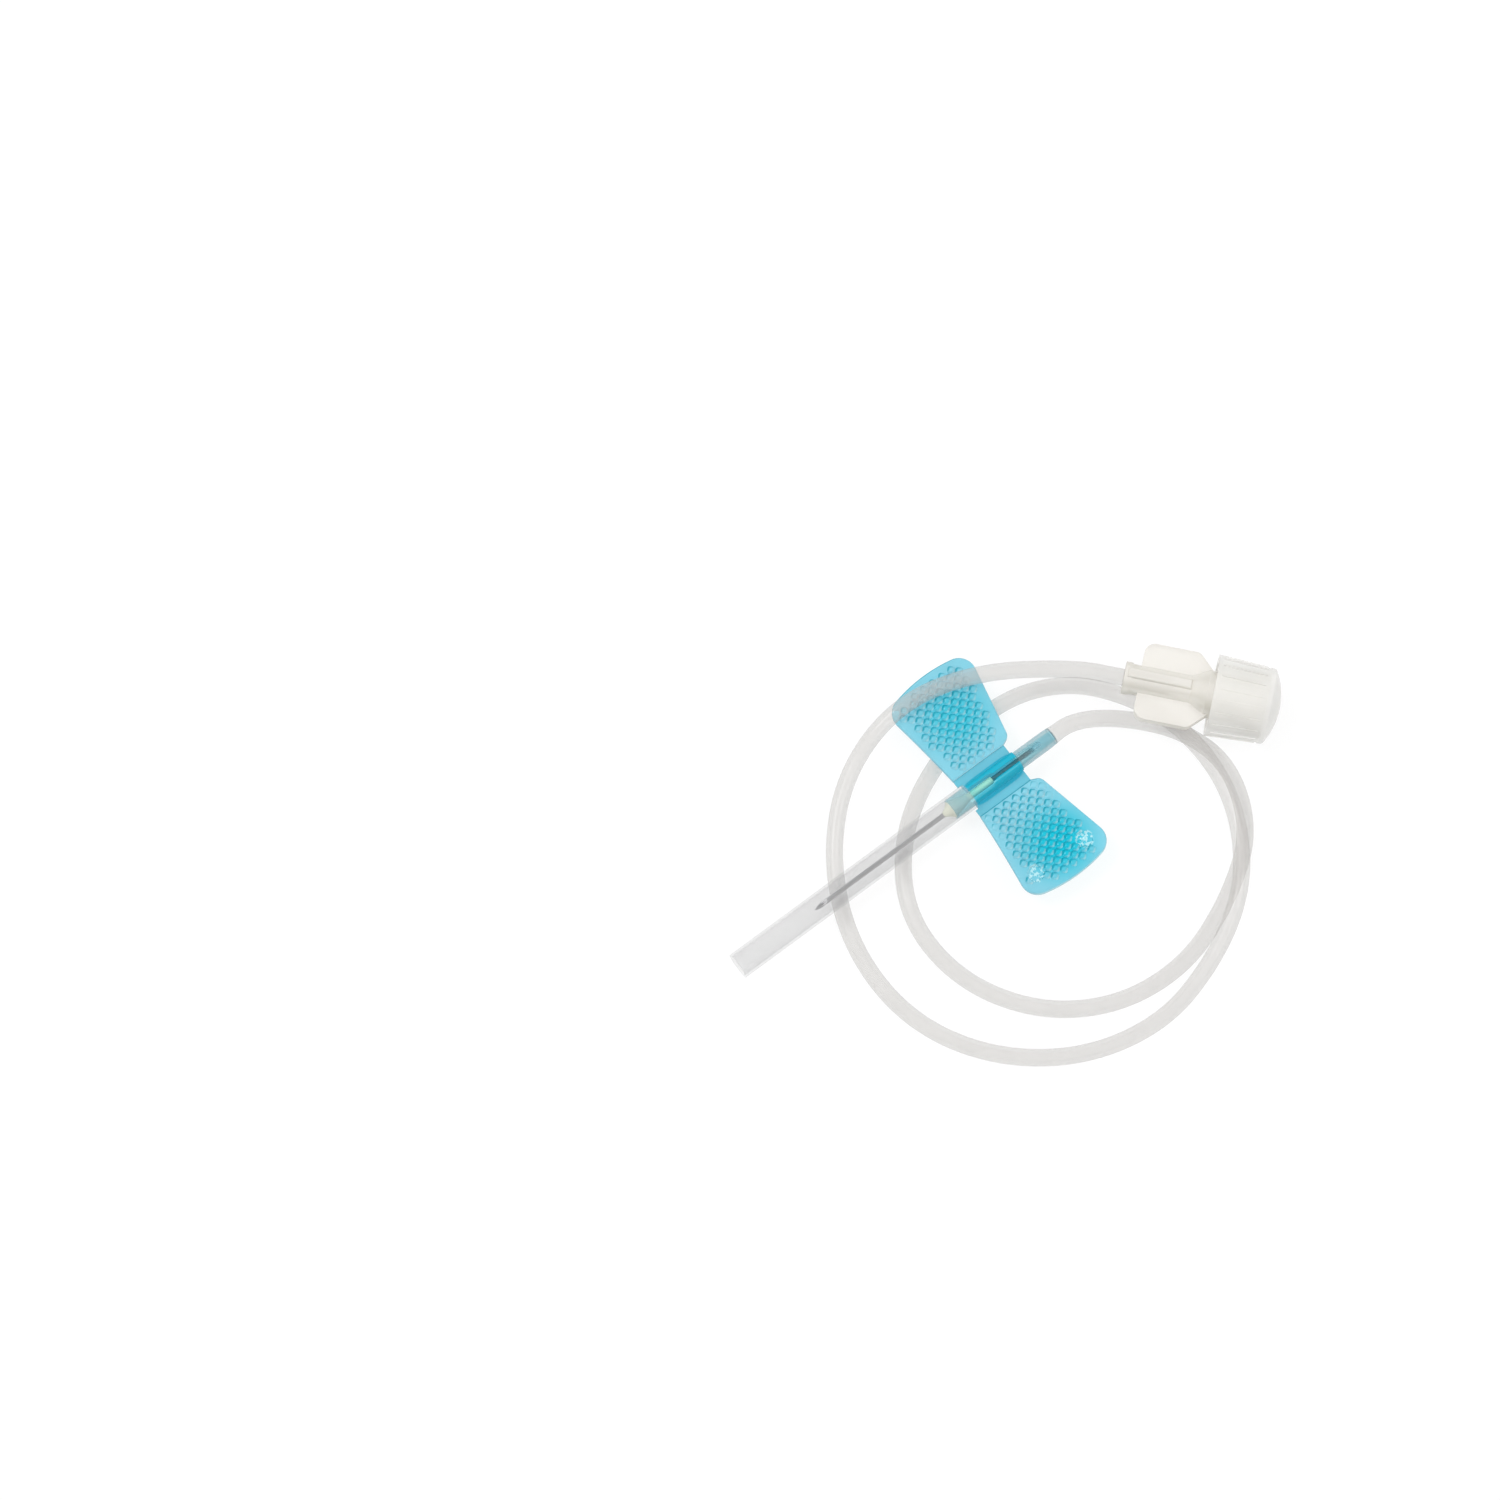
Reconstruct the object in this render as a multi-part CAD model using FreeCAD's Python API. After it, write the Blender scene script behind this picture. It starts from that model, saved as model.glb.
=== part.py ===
import FreeCAD, Part
import math
import os

# Winged infusion set: a guarded steel needle glued into a soft winged hub, and 300 mm of thin tubing
# that lies in two laps and ends in a capped female luer-lock connector. Millimetres.
# The needle runs along X with its tip at -X, the wings spread along Y, and +Z is up.
# The origin is on the flat underside of the hub's sleeve, below its middle. The set lies on a table.

# Wings' moulding, one piece of soft PVC
SLEEVE_R = 1.4
SLEEVE_FRONT = -3.8
SLEEVE_REAR = 3.75
SLEEVE_FLAT = 0.2
AXIS_Z = SLEEVE_R - SLEEVE_FLAT
WEB_LOW = 0.15
WEB_TOP = 0.55
CREASE_Y = 2.8
PAD_THICK = 0.75
PAD_TOP_ROUND = 0.18
WING_TIP_Y = 16.1
SHOULDER = (4.95, 3.35)
REAR_CORNER = (7.5, WING_TIP_Y - 1.0)
TIP_PEAK_X = 1.2
FRONT_CORNER = (-5.75, WING_TIP_Y - 1.2)
FRONT_MIDDLE = (-4.78, 7.9)
FRONT_ROOT_X = -4.25
CORNER_R = 2.3
SHOULDER_R = 1.1
GUARD_NOTCH_GAP = 0.1

# Grip texture: blunt square studs on a lattice turned by half a right angle to the needle
STUD_PITCH = 1.03
STUD_BASE = 0.94
STUD_TIP = 0.58
STUD_HEIGHT = 0.3
STUD_ROOT = 0.05
STUD_RIM_SHOULDER = 1.0
STUD_RIM_REAR = 1.25
STUD_RIM_TIP = 1.2
STUD_RIM_FRONT = 1.0
STUD_RIM_CREASE = 0.7
EJECTOR_R = 1.1
EJECTOR_DEPTH = 0.12
EJECTOR_SPOTS = [(4.5, 3.1 - WING_TIP_Y), (-3.2, 3.2 - WING_TIP_Y)]

# Spigots and bores of the hub
NOSE_R = 1.38
NOSE_FRONT = -6.8
FUNNEL_MOUTH_R = 1.2
FUNNEL_END = -4.0
GLUE_WELL_R = 0.5
GLUE_WELL_END = -0.3
TAIL_ROOT_R = 0.88
TAIL_TIP_R = 0.7
TAIL_END = 9.3
TAIL_BORE_R = 0.45

# Needle and its glue
NEEDLE_R = 0.32
NEEDLE_BORE_R = 0.19
NEEDLE_TIP = -28.9
NEEDLE_REAR = 6.3
BEVEL_DEG = 14.0
LANCET_DEG = 21.0
LANCET_ROLL_DEG = 38.0
LANCET_SHARE = 0.45
NEEDLE_FIT = 0.015
NEEDLE_END_GAP = 0.1
GLUE_GAP = 0.01
MENISCUS_FRONT = -8.0
MENISCUS_SAG = 0.45

# Guard
GUARD_R = 1.75
GUARD_BORE_R = 1.45
GUARD_TIP = -40.4
GUARD_SEAT_GAP = 0.05

# Tubing
TUBE_R = 1.1
TUBE_BORE_R = 0.65
TUBE_FLARE_R = 1.23
TAIL_FIT = 0.02
STRAND_GAP = 0.2
OVER_WING_GAP = 0.15
CROSSING_GAP = 0.35
ARC_SHARE = 0.45

# Connector, along its own axis from the tubing's mouth
MOUTH = (21.0, 0.4)
YAW_DEG = -48.5
ROLL_DEG = -8.0
SOCKET_DEPTH = 6.0
SOCKET_FIT = 0.02
BARREL_R = 1.95
COLLAR_R = 2.1
COLLAR_LENGTH = 0.9
BARREL_END = 8.6
RIB_START = 0.4
RIB_WIDTH = 1.3
RIB_RISE = 0.4
RIB_ROUND = 0.24
NECK_END = 10.6
LUER_R = 3.05
LUER_FACE = 17.5
LUER_MOUTH_R = 2.15
LUER_DEPTH = 7.5
LUER_TAPER = 0.06
LUG_R = 3.9
LUG_LENGTH = 1.0
LUG_WIDTH = 3.4
FIN_SPAN = 5.25
FIN_THICK = 1.0
FIN_FRONT = 2.0
FIN_OUTER_END = 9.0
FIN_REAR = 11.1
FIN_FRONT_R = 1.4
FIN_REAR_R = 1.1

# Cap, along the same axis
CAP_RIM = 11.35
CAP_RIM_R = 5.25
CAP_END = 18.9
CAP_END_R = 4.85
CAP_END_ROUND = 0.4
CAP_DOME = 1.2
CAP_CAVITY_R = 4.2
CAP_FLOOR = CAP_END - 0.6
CAP_RIB_RISE = 0.1
CAP_RIB_WIDTH = 0.5
CAP_RIB_COUNT = 18
CAP_RIB_START = CAP_RIM + 0.6
CAP_BEAD_START = CAP_END - 0.8
CAP_RIB_END = CAP_BEAD_START - 0.4
PLUG_LENGTH = 7.0
PLUG_FIT = 0.04
PLUG_BORE_R = 1.1

# How far fused forms reach into each other, how far cuts run on past an end, and the blocks that trim
FUSE_LAP = 0.3
CUT_PAST = 1
CUTTER_LENGTH = 40
CUTTER_DEPTH = 10
TOLERANCE = 1e-4

# Levels: the guard lies just over one strand, and the cap's rim rests on the table
TABLE_Z = AXIS_Z - GUARD_R - STRAND_GAP - 2 * TUBE_R
FLOOR_Z = TABLE_Z + TUBE_R
CROSS_Z = FLOOR_Z + 2 * TUBE_R + CROSSING_GAP
OVER_Z = PAD_THICK + STUD_HEIGHT + OVER_WING_GAP + TUBE_R
CONNECTOR_Z = TABLE_Z + CAP_RIM_R


def vec(x, y, z):
    return FreeCAD.Vector(x, y, z)


X_AXIS = vec(1, 0, 0)
Y_AXIS = vec(0, 1, 0)
Z_AXIS = vec(0, 0, 1)
HEADING = vec(math.cos(math.radians(YAW_DEG)), math.sin(math.radians(YAW_DEG)), 0)


def on_connector(along):
    """A point of the connector's axis, at this distance from the mouth."""
    return vec(MOUTH[0], MOUTH[1], CONNECTOR_Z) + HEADING * along


# The tubing's route: out of the hub, one lap, over itself at the right, a wider lap, over a wing
ROUTE = [
    vec(SLEEVE_REAR, 0, AXIS_Z),
    vec(12.8, 0, AXIS_Z),
    vec(18.6, -3.0, FLOOR_Z),
    vec(23.7, -8.9, FLOOR_Z),
    vec(25.7, -16.1, FLOOR_Z),
    vec(22.4, -24.4, FLOOR_Z),
    vec(15.0, -29.6, FLOOR_Z),
    vec(5.5, -33.2, FLOOR_Z),
    vec(-4.8, -32.2, FLOOR_Z),
    vec(-13.5, -26.6, FLOOR_Z),
    vec(-18.9, -17.5, FLOOR_Z),
    vec(-19.2, -7.0, FLOOR_Z),
    vec(-13.2, 1.8, FLOOR_Z),
    vec(-3.6, 7.0, FLOOR_Z),
    vec(7.4, 8.2, FLOOR_Z),
    vec(15.6, 5.1, FLOOR_Z + 0.1),
    vec(20.5, -1.1, FLOOR_Z + 1.3),
    vec(23.2, -8.6, CROSS_Z + 0.2),
    vec(23.5, -17.0, CROSS_Z),
    vec(20.7, -24.6, CROSS_Z),
    vec(15.6, -30.7, CROSS_Z - 0.2),
    vec(8.2, -34.9, FLOOR_Z + 0.8),
    vec(-1.5, -37.3, FLOOR_Z),
    vec(-12.4, -34.8, FLOOR_Z),
    vec(-21.6, -27.8, FLOOR_Z),
    vec(-27.0, -18.0, FLOOR_Z),
    vec(-27.3, -6.6, FLOOR_Z),
    vec(-22.8, 4.0, FLOOR_Z),
    vec(-14.6, 12.1, FLOOR_Z + 0.85),
    vec(-4.1, 14.9, OVER_Z),
    vec(6.8, 12.1, OVER_Z),
    on_connector(-6.2),
    on_connector(SOCKET_DEPTH),
]


def turned(profile, axis_z):
    """A solid of revolution about an axis along X at this height, from (x, radius) corners."""
    corners = [vec(x, 0, axis_z + r) for x, r in profile]
    face = Part.Face(Part.makePolygon(corners + corners[:1]))
    return face.revolve(vec(0, 0, axis_z), X_AXIS, 360)


def edges_where(shape, test):
    return [edge for edge in shape.Edges if test(edge)]


def upright_at(x, y):
    """A test for the upright edge that stands at this place."""
    def test(edge):
        low, high = edge.Vertexes[0].Point, edge.Vertexes[-1].Point
        on_spot = max(abs(low.x - x), abs(high.x - x), abs(low.y - y), abs(high.y - y)) < TOLERANCE
        return on_spot and abs(low.z - high.z) > TOLERANCE
    return test


def wing_edge(mirror):
    """The pad's free edge, from the crease at the rear to the crease at the front, in flat edges."""
    def at(x, y):
        return vec(x, mirror * y, 0)
    root_rear = at(SLEEVE_REAR, CREASE_Y)
    shoulder = at(*SHOULDER)
    rear = at(*REAR_CORNER)
    peak = at(TIP_PEAK_X, WING_TIP_Y)
    front = at(*FRONT_CORNER)
    root_front = at(FRONT_ROOT_X, CREASE_Y)
    return [
        Part.LineSegment(root_rear, shoulder).toShape(),
        Part.LineSegment(shoulder, rear).toShape(),
        Part.Arc(rear, peak, front).toShape(),
        Part.Arc(front, at(*FRONT_MIDDLE), root_front).toShape(),
    ]


def crease(mirror):
    """The line where the pad meets the web."""
    y = mirror * CREASE_Y
    return Part.LineSegment(vec(FRONT_ROOT_X, y, 0), vec(SLEEVE_REAR, y, 0)).toShape()


def pad(mirror):
    """One wing's pad with rounded corners and a rounded upper edge."""
    outline = Part.Wire(wing_edge(mirror) + [crease(mirror)])
    block = Part.Face(outline).extrude(Z_AXIS * PAD_THICK)
    for (x, y), radius in ((SHOULDER, SHOULDER_R), (REAR_CORNER, CORNER_R), (FRONT_CORNER, CORNER_R)):
        block = block.makeFillet(radius, edges_where(block, upright_at(x, mirror * y)))

    def upper(edge):
        box = edge.BoundBox
        return box.ZMin > PAD_THICK - TOLERANCE
    return block.makeFillet(PAD_TOP_ROUND, edges_where(block, upper))


def stud():
    """One blunt pyramid, sides along the lattice, its root sunk in the pad."""
    flare = (STUD_BASE - STUD_TIP) / STUD_HEIGHT * STUD_ROOT
    foot, crown = (STUD_BASE + flare) / 2, STUD_TIP / 2
    pyramid = Part.makeWedge(-foot, -STUD_ROOT, -foot, -crown, -crown, foot, STUD_HEIGHT, foot, crown, crown)
    pyramid.rotate(vec(0, 0, 0), X_AXIS, 90)
    pyramid.rotate(vec(0, 0, 0), Z_AXIS, 45)
    return pyramid


def stud_places(mirror):
    """Lattice points that lie far enough inside the pad's free edge, its crease and its ejector spots."""
    free = wing_edge(mirror)
    rims = (STUD_RIM_SHOULDER, STUD_RIM_REAR, STUD_RIM_TIP, STUD_RIM_FRONT)
    face = Part.Face(Part.Wire(free + [crease(mirror)]))
    half_step = STUD_PITCH / math.sqrt(2)
    count = int(2 * WING_TIP_Y / STUD_PITCH)
    places = []
    for i in range(-count, count + 1):
        for j in range(-count, count + 1):
            spot = vec((i + j) * half_step, (i - j) * half_step, 0)
            beyond_crease = mirror * spot.y > CREASE_Y + STUD_RIM_CREASE
            if not beyond_crease or mirror * spot.y > WING_TIP_Y:
                continue
            off_ejectors = all(math.hypot(spot.x - x, spot.y - y) > EJECTOR_R for x, y in EJECTOR_SPOTS)
            if not off_ejectors or not face.isInside(spot, TOLERANCE, True):
                continue
            point = Part.Vertex(spot)
            if all(edge.distToShape(point)[0] > rim for edge, rim in zip(free, rims)):
                places.append(spot)
    return places


def studded_pad(mirror):
    one = stud()
    studs = []
    for spot in stud_places(mirror):
        copy = one.copy()
        copy.translate(spot + Z_AXIS * PAD_THICK)
        studs.append(copy)
    print("studs on a pad:", len(studs))
    plate = pad(mirror).multiFuse(studs)
    for x, y in EJECTOR_SPOTS:
        if y * mirror > 0:
            low = PAD_THICK - EJECTOR_DEPTH
            plate = plate.cut(Part.makeCylinder(EJECTOR_R, PAD_THICK, vec(x, y, low)))
    return plate


def web():
    """The thin strip that joins both pads through the sleeve, notched in front for the guard."""
    length = SLEEVE_REAR - FRONT_ROOT_X
    reach = CREASE_Y + FUSE_LAP
    strip = Part.makeBox(length, 2 * reach, WEB_TOP - WEB_LOW, vec(FRONT_ROOT_X, -reach, WEB_LOW))
    half = GUARD_R + GUARD_NOTCH_GAP
    notch = Part.makeBox(SLEEVE_FRONT - FRONT_ROOT_X, 2 * half, PAD_THICK, vec(FRONT_ROOT_X, -half, 0))
    return strip.cut(notch)


def hub():
    """Sleeve, webs and studded pads with the nose for the guard and the tail for the tubing."""
    sleeve = turned(
        [(SLEEVE_FRONT, 0), (SLEEVE_FRONT, SLEEVE_R), (SLEEVE_REAR, SLEEVE_R), (SLEEVE_REAR, 0)], AXIS_Z
    )
    under = Part.makeBox(
        CUTTER_LENGTH, CUTTER_DEPTH, CUTTER_DEPTH, vec(-CUTTER_LENGTH / 2, -CUTTER_DEPTH / 2, -CUTTER_DEPTH)
    )
    sleeve = sleeve.cut(under)
    nose = turned([(NOSE_FRONT, 0), (NOSE_FRONT, NOSE_R), (0, NOSE_R), (0, 0)], AXIS_Z)
    under.translate(X_AXIS * (SLEEVE_FRONT + CUTTER_LENGTH / 2))
    nose = nose.cut(under)
    tail = turned(
        [(0, 0), (0, TAIL_ROOT_R), (SLEEVE_REAR, TAIL_ROOT_R), (TAIL_END, TAIL_TIP_R), (TAIL_END, 0)], AXIS_Z
    )
    body = sleeve.multiFuse([nose, tail, web(), studded_pad(1), studded_pad(-1)])
    needle_hole = NEEDLE_R + NEEDLE_FIT
    bore = turned(
        [
            (NOSE_FRONT - CUT_PAST, 0),
            (NOSE_FRONT - CUT_PAST, FUNNEL_MOUTH_R),
            (NOSE_FRONT, FUNNEL_MOUTH_R),
            (FUNNEL_END, GLUE_WELL_R),
            (GLUE_WELL_END, GLUE_WELL_R),
            (GLUE_WELL_END, needle_hole),
            (NEEDLE_REAR + NEEDLE_END_GAP, needle_hole),
            (NEEDLE_REAR + NEEDLE_END_GAP, TAIL_BORE_R),
            (TAIL_END + CUT_PAST, TAIL_BORE_R),
            (TAIL_END + CUT_PAST, 0),
        ],
        AXIS_Z,
    )
    return body.cut(bore)


def needle():
    """Steel tube, blunt at the rear, its tip ground with one long bevel and two lancet cuts."""
    length = NEEDLE_REAR - NEEDLE_TIP
    tube = Part.makeCylinder(NEEDLE_R, length, vec(NEEDLE_TIP, 0, AXIS_Z), X_AXIS)
    lumen_start = vec(NEEDLE_TIP - CUT_PAST, 0, AXIS_Z)
    tube = tube.cut(Part.makeCylinder(NEEDLE_BORE_R, length + 2 * CUT_PAST, lumen_start, X_AXIS))
    point = vec(NEEDLE_TIP, 0, AXIS_Z - NEEDLE_R)
    reach = 2 * NEEDLE_R / math.tan(math.radians(BEVEL_DEG))
    grinder = Part.makeBox(
        CUTTER_LENGTH,
        CUTTER_DEPTH,
        CUTTER_DEPTH,
        vec(NEEDLE_TIP - CUTTER_LENGTH / 2, -CUTTER_DEPTH / 2, AXIS_Z - NEEDLE_R),
    )
    bevel = grinder.copy()
    bevel.rotate(point, Y_AXIS, -BEVEL_DEG)
    tube = tube.cut(bevel)
    heel = point + X_AXIS * (LANCET_SHARE * reach)
    heel.z += LANCET_SHARE * reach * math.tan(math.radians(BEVEL_DEG))
    for side in (-1, 1):
        cut = grinder.copy()
        cut.translate(heel - point)
        cut.rotate(heel, Y_AXIS, -LANCET_DEG)
        cut.rotate(heel, X_AXIS, side * LANCET_ROLL_DEG)
        tube = tube.cut(cut)
    return tube


def glue():
    """Cured glue round the needle: a meniscus, the funnel's plug and the narrow column behind it."""
    inner = NEEDLE_R + GLUE_GAP
    skin = vec(MENISCUS_FRONT, 0, AXIS_Z + inner)
    belly = vec(NOSE_FRONT - MENISCUS_SAG, 0, AXIS_Z + (NEEDLE_R + FUNNEL_MOUTH_R) / 2 - GLUE_GAP)
    rim = vec(NOSE_FRONT, 0, AXIS_Z + FUNNEL_MOUTH_R - GLUE_GAP)
    corners = [
        rim,
        vec(FUNNEL_END, 0, AXIS_Z + GLUE_WELL_R - GLUE_GAP),
        vec(GLUE_WELL_END - GLUE_GAP, 0, AXIS_Z + GLUE_WELL_R - GLUE_GAP),
        vec(GLUE_WELL_END - GLUE_GAP, 0, AXIS_Z + inner),
        skin,
    ]
    outline = Part.Wire([Part.Arc(skin, belly, rim).toShape()] + Part.makePolygon(corners).Edges)
    return Part.Face(outline).revolve(vec(0, 0, AXIS_Z), X_AXIS, 360)


def guard():
    """Open-ended clear tube pushed over the hub's nose."""
    rear = SLEEVE_FRONT - GUARD_SEAT_GAP
    wall = [(GUARD_TIP, GUARD_BORE_R), (GUARD_TIP, GUARD_R), (rear, GUARD_R), (rear, GUARD_BORE_R)]
    return turned(wall, AXIS_Z)


def cord_path(points):
    """Straight runs joined by tangent arcs, each as large as its two runs allow, and the arcs' radii."""
    edges, radii, start = [], [], points[0]
    for before, corner, after in zip(points, points[1:], points[2:]):
        to_corner, from_corner = corner - before, after - corner
        half_turn = to_corner.getAngle(from_corner) / 2
        reach = ARC_SHARE * min(to_corner.Length, from_corner.Length)
        radius = reach / math.tan(half_turn)
        radii.append(radius)
        arc_start = corner - FreeCAD.Vector(to_corner).normalize() * reach
        arc_end = corner + FreeCAD.Vector(from_corner).normalize() * reach
        inward = ((arc_start + arc_end) * 0.5 - corner).normalize()
        middle = corner + inward * (radius / math.cos(half_turn) - radius)
        edges.append(Part.LineSegment(start, arc_start).toShape())
        edges.append(Part.Arc(arc_start, middle, arc_end).toShape())
        start = arc_end
    edges.append(Part.LineSegment(start, points[-1]).toShape())
    return edges, radii


def rod(path, start, radius):
    """A round rod swept along a path that sets out along X."""
    return path.makePipe(Part.Face(Part.Wire(Part.makeCircle(radius, start, X_AXIS))))


def tubing():
    """Hollow tubing along its route, with its first end stretched over the hub's tail."""
    edges, radii = cord_path(ROUTE)
    bend_x = edges[0].Vertexes[-1].Point.x
    stretched = turned(
        [
            (SLEEVE_REAR, TAIL_ROOT_R + TAIL_FIT),
            (SLEEVE_REAR, TUBE_FLARE_R),
            (bend_x, TUBE_R),
            (bend_x, TUBE_BORE_R),
            (TAIL_END, TUBE_BORE_R),
            (TAIL_END, TAIL_TIP_R + TAIL_FIT),
        ],
        AXIS_Z,
    )
    path = Part.Wire(edges[1:])
    start = vec(bend_x, 0, AXIS_Z)
    swept = rod(path, start, TUBE_R).cut(rod(path, start, TUBE_BORE_R))
    section = math.pi * (TUBE_R ** 2 - TUBE_BORE_R ** 2)
    whole_length = sum(edge.Length for edge in edges)
    print("bend radii:", [round(radius, 1) for radius in radii])
    print("runs:", [round((b - a).Length, 1) for a, b in zip(ROUTE, ROUTE[1:])])
    print("tubing length %.1f, first bend at x %.2f, tail ends at %.2f" % (whole_length, bend_x, TAIL_END))
    print("swept volume %.2f, section times length %.2f" % (swept.Volume, section * path.Length))
    return stretched.fuse(swept).removeSplitter()


def placed(shape):
    """Carries a solid from the connector's own axis along X to where it lies on the table."""
    shape.rotate(vec(0, 0, 0), X_AXIS, ROLL_DEG)
    shape.rotate(vec(0, 0, 0), Z_AXIS, YAW_DEG)
    shape.translate(on_connector(0))
    return shape


def fin(side):
    """A flat finger plate with a rounded front corner and a long slant behind."""
    root = BARREL_R / 2
    corners = [
        (FIN_FRONT, root),
        (FIN_FRONT, FIN_SPAN),
        (FIN_OUTER_END, FIN_SPAN),
        (FIN_REAR, LUER_R),
        (FIN_REAR, root),
    ]
    points = [vec(x, side * y, -FIN_THICK / 2) for x, y in corners]
    plate = Part.Face(Part.makePolygon(points + points[:1])).extrude(Z_AXIS * FIN_THICK)
    for x, radius in ((FIN_FRONT, FIN_FRONT_R), (FIN_OUTER_END, FIN_REAR_R)):
        plate = plate.makeFillet(radius, edges_where(plate, upright_at(x, side * FIN_SPAN)))
    return plate


def connector():
    """Female luer-lock connector: socket barrel with a rib and two fins, neck, luer hub with two lugs."""
    body = turned(
        [
            (0, 0),
            (0, COLLAR_R),
            (COLLAR_LENGTH, COLLAR_R),
            (COLLAR_LENGTH, BARREL_R),
            (BARREL_END, BARREL_R),
            (NECK_END, LUER_R),
            (LUER_FACE, LUER_R),
            (LUER_FACE, 0),
        ],
        0,
    )
    rib_top = BARREL_R + RIB_RISE
    rib = Part.makeBox(BARREL_END - RIB_START, RIB_WIDTH, rib_top, vec(RIB_START, -RIB_WIDTH / 2, 0))
    crest = edges_where(rib, lambda edge: edge.BoundBox.ZMin > rib_top - TOLERANCE)
    rib = rib.makeFillet(RIB_ROUND, crest)
    lug = Part.makeBox(LUG_LENGTH, 2 * LUG_R, LUG_WIDTH, vec(LUER_FACE - LUG_LENGTH, -LUG_R, -LUG_WIDTH / 2))
    lug = lug.common(Part.makeCylinder(LUG_R, LUG_LENGTH, vec(LUER_FACE - LUG_LENGTH, 0, 0), X_AXIS))
    body = body.multiFuse([rib, lug, fin(1), fin(-1)])
    cone_end = LUER_FACE - LUER_DEPTH
    bore = turned(
        [
            (-CUT_PAST, 0),
            (-CUT_PAST, TUBE_R + SOCKET_FIT),
            (SOCKET_DEPTH, TUBE_R + SOCKET_FIT),
            (SOCKET_DEPTH, TUBE_BORE_R),
            (cone_end, TUBE_BORE_R),
            (cone_end, LUER_MOUTH_R - LUER_TAPER / 2 * LUER_DEPTH),
            (LUER_FACE, LUER_MOUTH_R),
            (LUER_FACE + CUT_PAST, LUER_MOUTH_R),
            (LUER_FACE + CUT_PAST, 0),
        ],
        0,
    )
    return placed(body.cut(bore).removeSplitter())


def cap_radius(along):
    """The cap's outer radius over its ribs, which narrows evenly from the rim to the closed end."""
    share = (along - CAP_RIM) / (CAP_END - CAP_RIM)
    return CAP_RIM_R + share * (CAP_END_R - CAP_RIM_R)


def cap():
    """Screw cap: domed shell with long ribs, an end bead and the plug that fills the connector's cone."""
    corner = vec(CAP_END - CAP_END_ROUND, 0, CAP_END_R - CAP_END_ROUND)
    wall_end = corner + Z_AXIS * CAP_END_ROUND
    crown = vec(CAP_END + CAP_DOME, 0, 0)
    reach = crown.x - corner.x
    dome_r = (reach ** 2 + corner.z ** 2 - CAP_END_ROUND ** 2) / (2 * (reach - CAP_END_ROUND))
    centre = crown - X_AXIS * dome_r
    lean = (corner - centre).normalize()
    brow = centre + lean * dome_r
    round_middle = corner + (lean + Z_AXIS).normalize() * CAP_END_ROUND
    dome_middle = centre + (lean + X_AXIS).normalize() * dome_r

    def skin(along):
        return cap_radius(along) - CAP_RIB_RISE
    corners = [
        crown,
        vec(CAP_RIM, 0, 0),
        vec(CAP_RIM, 0, cap_radius(CAP_RIM)),
        vec(CAP_RIB_START, 0, cap_radius(CAP_RIB_START)),
        vec(CAP_RIB_START, 0, skin(CAP_RIB_START)),
        vec(CAP_BEAD_START, 0, skin(CAP_BEAD_START)),
        vec(CAP_BEAD_START, 0, cap_radius(CAP_BEAD_START)),
        wall_end,
    ]
    end_round = Part.Arc(wall_end, round_middle, brow).toShape()
    dome = Part.Arc(brow, dome_middle, crown).toShape()
    outline = Part.Wire(Part.makePolygon(corners).Edges + [end_round, dome])
    shell = Part.Face(outline).revolve(vec(0, 0, 0), X_AXIS, 360)
    rib_corners = [
        vec(CAP_RIB_START, 0, skin(CAP_RIB_START) - FUSE_LAP),
        vec(CAP_RIB_START, 0, cap_radius(CAP_RIB_START)),
        vec(CAP_RIB_END, 0, cap_radius(CAP_RIB_END)),
        vec(CAP_RIB_END, 0, skin(CAP_RIB_END) - FUSE_LAP),
    ]
    rib_face = Part.Face(Part.makePolygon(rib_corners + rib_corners[:1]))
    rib = rib_face.extrude(Y_AXIS * CAP_RIB_WIDTH)
    rib.translate(Y_AXIS * (-CAP_RIB_WIDTH / 2))
    ribs = []
    for k in range(CAP_RIB_COUNT):
        copy = rib.copy()
        copy.rotate(vec(0, 0, 0), X_AXIS, 360 * (k + 0.5) / CAP_RIB_COUNT)
        ribs.append(copy)
    shell = shell.multiFuse(ribs)
    shell = shell.cut(Part.makeCylinder(CAP_CAVITY_R, CAP_FLOOR - CAP_RIM, vec(CAP_RIM, 0, 0), X_AXIS))
    plug_tip = LUER_FACE - PLUG_LENGTH
    plug_r = LUER_MOUTH_R - PLUG_FIT
    plug = turned(
        [
            (plug_tip, PLUG_BORE_R),
            (plug_tip, plug_r - LUER_TAPER / 2 * PLUG_LENGTH),
            (LUER_FACE, plug_r),
            (CAP_FLOOR + FUSE_LAP, plug_r),
            (CAP_FLOOR + FUSE_LAP, PLUG_BORE_R),
        ],
        0,
    )
    return placed(shell.fuse(plug))


NODES = {
    "wing_hub": hub,
    "needle_cannula": needle,
    "needle_adhesive": glue,
    "needle_guard": guard,
    "tubing": tubing,
    "luer_connector": connector,
    "luer_cap": cap,
}

os.makedirs("parts", exist_ok=True)
for name, build in NODES.items():
    shape = build()
    solids = shape.Solids
    print("%s: valid %s, %d solid, %.2f mm3" % (name, shape.isValid(), len(solids), shape.Volume))
    solid = solids[0] if len(solids) == 1 else shape
    solid.exportStep("parts/%s.step" % name)
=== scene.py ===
import math

import bmesh
import bpy
import numpy
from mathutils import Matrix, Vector, noise
from mathutils.bvhtree import BVHTree
from mathutils.geometry import delaunay_2d_cdt


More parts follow.
